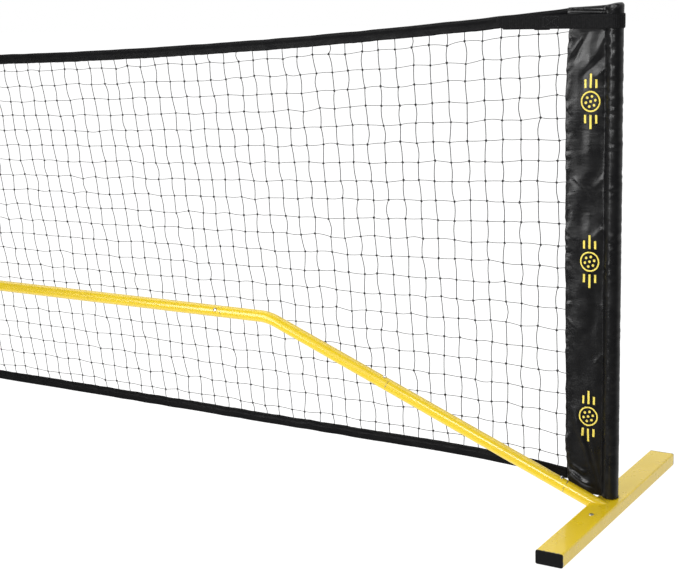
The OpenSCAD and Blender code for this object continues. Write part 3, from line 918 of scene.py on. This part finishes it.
def strap_path():
    """The strap's plan, from its pointed front end round the post and through the slider."""
    low = BAND_Y + STRAP_REST
    over = BAND_Y + 6.0 * MM
    turn = np.linspace(-np.pi / 2 - 0.1, np.pi / 2 + 0.1, 17)
    wrap = WRAP_R * np.stack([np.cos(turn), np.sin(turn)], -1)
    front = [(STRAP_LOW.x - POST_X, -low), (-0.15, -low), (-0.078, -low), (-0.066, -low - 0.9 * MM)]
    # Over the slider's middle bar: distance along from its centre, and place across
    hump = [
        (2 * MM, over + 0.4 * MM), (5 * MM, over - 0.8 * MM),
        (7.5 * MM, low + 1.4 * MM), (13 * MM, low),
    ]
    back = [(-0.066, low + 0.9 * MM), (-0.078, low), (-0.105, low)]
    back += [(SLIDER_X + x, y) for x, y in hump[::-1]]
    back += [(SLIDER_X - x, y) for x, y in hump]
    back.append((-0.170, low))
    return np.concatenate([front, wrap, back])


def build_strap(side, word):
    plan = strap_path()
    at = run_along(plan)
    run = np.arange(0, at[-1], RIB / 6)
    line = read_path(run, at, plan)
    smooth = np.ones(5) / 5
    line[2:-2] = np.stack([np.convolve(line[:, k], smooth, "valid") for k in range(2)], -1)
    normal = outward(line)
    height = STRAP_HIGH.z - STRAP_LOW.z
    up = np.linspace(0, 1, 11)
    # The front end is cut to a blunt point
    share = np.clip(run / (14 * MM), 0, 1)[:, None]
    low_edge = (1 - share) * 0.42
    rows = low_edge + (1 - (1 - share) * 0.25 - low_edge) * up[None]
    inside = smoothstep(np.minimum(up, 1 - up) * 9)[None]
    rib = RIB_H * np.abs(np.sin(np.pi * run / RIB))[:, None] * inside
    out = WEB_T / 2 + rib
    x, y = line[:, :1] + normal[:, :1] * out, line[:, 1:] + normal[:, 1:] * out
    surface = np.stack([x, y, STRAP_LOW.z + height * rows], -1)
    shape = Shape(side)
    add_skin(shape, surface[:, ::-1], WEB_T)
    piece = shape.piece(f"strap_{word}", strap_finish, "net", "webbing", f"top_strap_{word}")

    seams = Shape(side)
    # A box with a cross in it, sewn as one line
    centre = np.array([SEWN_BOX_X, 0, (STRAP_LOW.z + STRAP_HIGH.z) / 2])
    corners = [(-1, -1), (1, -1), (1, 1), (-1, 1), (-1, -1), (1, 1), (1, -1), (-1, 1)]
    for (a, b), (c, d) in zip(corners[:-1], corners[1:]):
        start = centre + (a * SEWN_BOX_W / 2, 0, b * SEWN_BOX_H / 2)
        end = centre + (c * SEWN_BOX_W / 2, 0, d * SEWN_BOX_H / 2)
        count = int(np.linalg.norm(end - start) / SEWN_BOX_PITCH)
        t = (np.arange(count)[:, None] + 0.5) / count
        line = start * (1 - t) + end * t
        line[:, 1] = -BAND_Y - STRAP_REST - WEB_T / 2 - 0.2 * MM
        along = np.broadcast_to(end - start, line.shape)
        add_stitches(seams, line, along, np.broadcast_to((0, -1, 0), line.shape))
    seams.piece(f"strap_stitches_{word}", thread, "net", "webbing")
    build_slider(side, word)


def build_slider(side, word):
    """A ladder lock: five rounded bars in one moulding, with the strap over the middle one."""
    shape = Shape(side)
    low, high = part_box("strap_slider_right")
    centre = np.array([SLIDER_X, (low.y + high.y) / 2, (low.z + high.z) / 2])
    half_t = (high.y - low.y) / 2
    half_h = (high.z - low.z) / 2
    for x, half_w, thick in ((-12, 2.8, 1.0), (0, 2.3, 0.7), (12, 2.8, 1.0)):
        half = (half_w * MM, half_t * thick, half_h)
        add_pebble(shape, centre + (x * MM, 0, 0), half, 0.28, 22, 20)
    end_bar = (half_h - (STRAP_HIGH.z - STRAP_LOW.z) / 2 - 0.25 * MM) / 2
    for end in (-1, 1):
        place = centre + (0, 0, end * (half_h - end_bar))
        add_pebble(shape, place, (14.8 * MM, half_t, end_bar), 0.3, 14, 32)
    # Three fine ribs on the first bar, for the thumb
    for k in (-1, 0, 1):
        grip = centre + ((1.3 * k - 12) * MM, half_t * 0.85, 0)
        add_pebble(shape, grip, (0.4 * MM, 0.5 * MM, half_h * 0.7), 0.5, 12, 10)
    shape.piece(f"slider_{word}", slider_finish, "net", "buckle_plastic", f"strap_slider_{word}")


# Centre pocket

# The wall's plan from its flat end to the post's widest part
POCKET_PLAN = [
    (-0.036, -0.0036), (-0.026, -0.0038), (-0.0205, -0.0068), (-0.0172, -0.015), (-0.0152, -0.024),
]
# Then round the front of the post: across and forward from its centre, in radii
POCKET_ROUND = ((1, 0), (0.92, 0.4), (0.71, 0.71), (0.4, 0.92), (0, 1))
POCKET_GAP = 1.9 * MM
# The roof's rings from its turned-down edge to its middle: height, and size of the wall's plan
ROOF_LIFT = (-5.0, -2.0, 0.3, 1.2, 1.6, 1.9, 2.0, 2.0)
ROOF_SIZE = (1.045, 1.05, 1.04, 0.98, 0.8, 0.5, 0.25, 0.04)
POCKET_SEAMS = (0.0285, 0.033)


def build_centre_pocket():
    """A vinyl loop round the centre post, closed at the top and sewn to the band at its sides."""
    rng = np.random.default_rng(8)
    r = TUBE_R + POCKET_GAP
    half = POCKET_PLAN + [(-a * r, RAIL_Y - b * r) for a, b in POCKET_ROUND]
    section = np.array(half + [(-x, y) for x, y in half[-2::-1]])
    plan = even_path(section, 110)
    heights = np.linspace(POCKET_LOW.z - 1 * MM, POCKET_HIGH.z - 1.2 * MM, 32)
    x, y = (np.tile(values, (len(heights), 1)) for values in plan.T)
    z = np.repeat(heights[:, None], len(plan), 1)
    normal = outward(plan)
    index = np.arange(len(plan))[None] * 1.3 * MM + 0 * x
    relief = 0.35 * MM * np.abs(blotches(index, z, 14 * MM, 6 * MM, rng))
    relief += 0.6 * MM * np.exp(-(((z - heights[0]) / (2 * MM)) ** 2))
    from_end = np.minimum(index, index.max() - index)
    relief = relief * smoothstep((from_end - 9 * MM) / (8 * MM))
    surface = np.stack([x + normal[None, :, 0] * relief, y + normal[None, :, 1] * relief, z], -1)
    shape = Shape()
    add_skin(shape, surface, VINYL_T)
    wall = shape.piece("centre_pocket_wall", sleeve_finish, "net", "band_tape", "centre_pocket")

    # The roof is a flat patch with a turned-down edge, domed a little over the cap
    ring = plan[(plan[:, 1] < -4.5 * MM)]
    centre = ring.mean(0)
    lift = np.array(ROOF_LIFT) * MM
    flat = centre + (ring - centre)[None] * np.array(ROOF_SIZE)[:, None, None]
    flat[..., 1] = np.minimum(flat[..., 1], -3.6 * MM)
    top = np.concatenate([flat, np.repeat((heights[-1] + lift)[:, None, None], len(ring), 1)], -1)
    roof_shape = Shape()
    add_skin(roof_shape, top, VINYL_T)
    roof = roof_shape.piece("centre_pocket_roof", sleeve_finish, "net", "band_tape")
    width = float(np.ptp(flat[0, :, 0]))
    depth = float(np.ptp(flat[0, :, 1]))

    seams = Shape()
    for flank in (-1, 1):
        for inset in POCKET_SEAMS:
            line_z = np.arange(heights[0] + 3 * MM, heights[-1] - 2 * MM, 3.8 * MM)
            line = np.stack([0 * line_z + flank * inset, 0 * line_z - 4.0 * MM, line_z], -1)
            add_seam(seams, line, -1)
    seams.piece("centre_pocket_stitches", thread, "net", "band_tape")


# Welds

def build_welds():
    """Rippled beads where the tubes are joined, painted over."""
    paint = powder_coat("welds")
    angle = np.linspace(0, 2 * np.pi, 72, endpoint=False)
    ripple = 1 + 0.16 * np.sin(19 * angle) + 0.07 * np.sin(7 * angle + 1)
    around = np.stack([TUBE_R * np.cos(angle), TUBE_R * np.sin(angle)], -1)
    shape = Shape()
    for up in (-1, 1):
        saddle = np.sqrt(np.maximum(TUBE_R**2 - around[:, 1] ** 2, 0))
        path = np.column_stack([around[:, 0], around[:, 1] + RAIL_Y, RAIL_Z + up * saddle])
        add_tube(shape, path, 1.7 * MM * ripple, 8, closed=True, up=(0.01, 0.02, 1))
    base = np.column_stack([around[:, 0], around[:, 1] + RAIL_Y, np.full(72, FOOT_TOP + 0.2 * MM)])
    add_tube(shape, base, 1.9 * MM * ripple, 8, closed=True, up=(0, 0, 1))
    shape.piece("centre_welds", paint, "frame", "yellow_paint")

    for side, word in SIDES:
        shape = Shape(side)
        # A tube point enters the foot once it is both past the foot's side and under its top
        start = np.array([-0.1, RAIL_Y, RAIL_Z - (BEND_D - 0.1) * math.tan(BRACE_SLOPE)])
        ring = around[:, :1] * (0, 1, 0) + around[:, 1:] * (-BRACE_DOWN, 0, BRACE_ALONG)
        to_side = (-FOOT_HALF_W - (start + ring)[:, 0]) / BRACE_ALONG
        to_top = ((start + ring)[:, 2] - FOOT_TOP) / BRACE_DOWN
        into = np.maximum(to_side, to_top)
        path = start + ring + into[:, None] * (BRACE_ALONG, 0, -BRACE_DOWN)
        add_tube(shape, path, 1.7 * MM * ripple, 8, closed=True, up=(0.3, 0, 1))
        shape.piece(f"brace_weld_{word}", paint, "frame", "yellow_paint")


# Stage, lights and camera

CAMERA_FROM_POST = (0.8603, -2.2816, 0.9585)
CAMERA_HEADING = math.radians(32.277)
CAMERA_PITCH = math.radians(12.496)
CAMERA_ROLL = math.radians(1.915)
LENS = 72.28
FLOOR_HALF = 30.0
FLOOR_COLOR = (0.16, 0.16, 0.16)
FLOOR_GLOW = 0.92
WHITE = (1, 1, 1, 1)
OVERHEAD_WATTS = 136
KEY_WATTS = 14
FILL_WATTS = 9


def area_light(name, place, target, size, power, spread=180):
    data = bpy.data.lights.new(name, "AREA")
    data.shape = "RECTANGLE"
    data.size, data.size_y = size
    data.energy = power
    data.spread = math.radians(spread)
    obj = bpy.data.objects.new(name, data)
    obj.location = place
    obj.rotation_euler = (Vector(target) - Vector(place)).to_track_quat("-Z", "Y").to_euler()
    bpy.context.scene.collection.objects.link(obj)


def build_stage():
    mesh = bpy.data.meshes.new("floor")
    corners = ((-1, -1), (1, -1), (1, 1), (-1, 1))
    mesh.from_pydata([(FLOOR_HALF * x, FLOOR_HALF * y, 0) for x, y in corners], [], [(0, 1, 2, 3)])
    floor = bpy.data.objects.new("floor", mesh)
    bpy.context.scene.collection.objects.link(floor)
    pale = Finish("floor_pale", FLOOR_COLOR, 0.7)
    uneven = pale.span(pale.noise(3, 2), 0.3, 0.7, 0.6, 0.8)
    pale.finish(Emission_Color=WHITE, Emission_Strength=FLOOR_GLOW, Roughness=uneven)
    mesh.materials.append(pale.material)
    # It lights the object but stays out of its reflections, like a dark studio around a lit table
    floor.visible_glossy = False

    world = bpy.data.worlds.new("studio")
    bpy.context.scene.world = world
    world.use_nodes = True
    sky = Graph(world.node_tree, "Generated")
    # A pale backdrop behind the object, and the darker room in front of it
    room = sky.span(sky.axis("Y"), -0.4, 0.6, 0.2, 0.85)
    # Steeply downward, the pale table around the object
    table = sky.span(sky.axis("Z"), -0.35, -0.75, 0.0, 1.2)
    # Seen directly, all of it is white
    seen = sky.nodes.new("ShaderNodeLightPath").outputs["Is Camera Ray"]
    lit = sky.math("MAXIMUM", room, table)
    background = sky.nodes["Background"]
    background.inputs["Color"].default_value = WHITE
    sky.put(background.inputs["Strength"], sky.node("Mix", {0: seen, 2: lit, 3: 1.0}).outputs[0])


def build_lights():
    """A long light over the net, and a narrow key and fill in front of each side."""
    area_light("overhead", (0, 0.9, 3.3), (0, 0, 0.3), (12.0, 2.2), OVERHEAD_WATTS)
    for side, word in SIDES:
        foot_x, key_x, fill_x = (side * (POST_X - inward) for inward in (0.1, 2.4, 0.4))
        at_key, at_fill = (foot_x, 0, 0.6), (foot_x, 0, 0.5)
        area_light("key_" + word, (key_x, -2.7, 1.35), at_key, (1.3, 2.5), KEY_WATTS, 70)
        area_light("fill_" + word, (fill_x, -3.0, 1.9), at_fill, (1.0, 1.1), FILL_WATTS, 80)


def build_camera():
    data = bpy.data.cameras.new("camera")
    data.sensor_width = 36
    data.lens = LENS
    camera = bpy.data.objects.new("camera", data)
    bpy.context.scene.collection.objects.link(camera)
    place = Matrix.Translation(Vector((POST_X, 0, 0)) + Vector(CAMERA_FROM_POST))
    heading = Matrix.Rotation(CAMERA_HEADING, 4, "Z")
    pitch = Matrix.Rotation(math.pi / 2 - CAMERA_PITCH, 4, "X")
    roll = Matrix.Rotation(-CAMERA_ROLL, 4, "Z")
    camera.matrix_world = place @ heading @ pitch @ roll
    bpy.context.scene.camera = camera


bpy.context.scene.view_settings.view_transform = "Standard"
build_camera()
build_stage()
build_lights()

finish_cad_nodes()
tape_finish = tape()
sleeve_finish = vinyl()
strap_finish = webbing()
print_finish = ink()
slider_finish = moulded("buckle_plastic", (0.009, 0.009, 0.0095), 0.38)
thread = twine("sewing_thread", (0.016, 0.016, 0.017), 0.6, 900)

build_welds()
build_netting(twine("net_twine", (0.014, 0.014, 0.015), 0.75, 700))
build_band("top", top_edge, TOP_BAND_H, TOP_PROFILE, 21)
build_band("bottom", mesh_bottom, BOTTOM_BAND_H, BOTTOM_PROFILE, 22)
for side, word in SIDES:
    build_sleeve(side, word)
    build_strap(side, word)
build_centre_pocket()
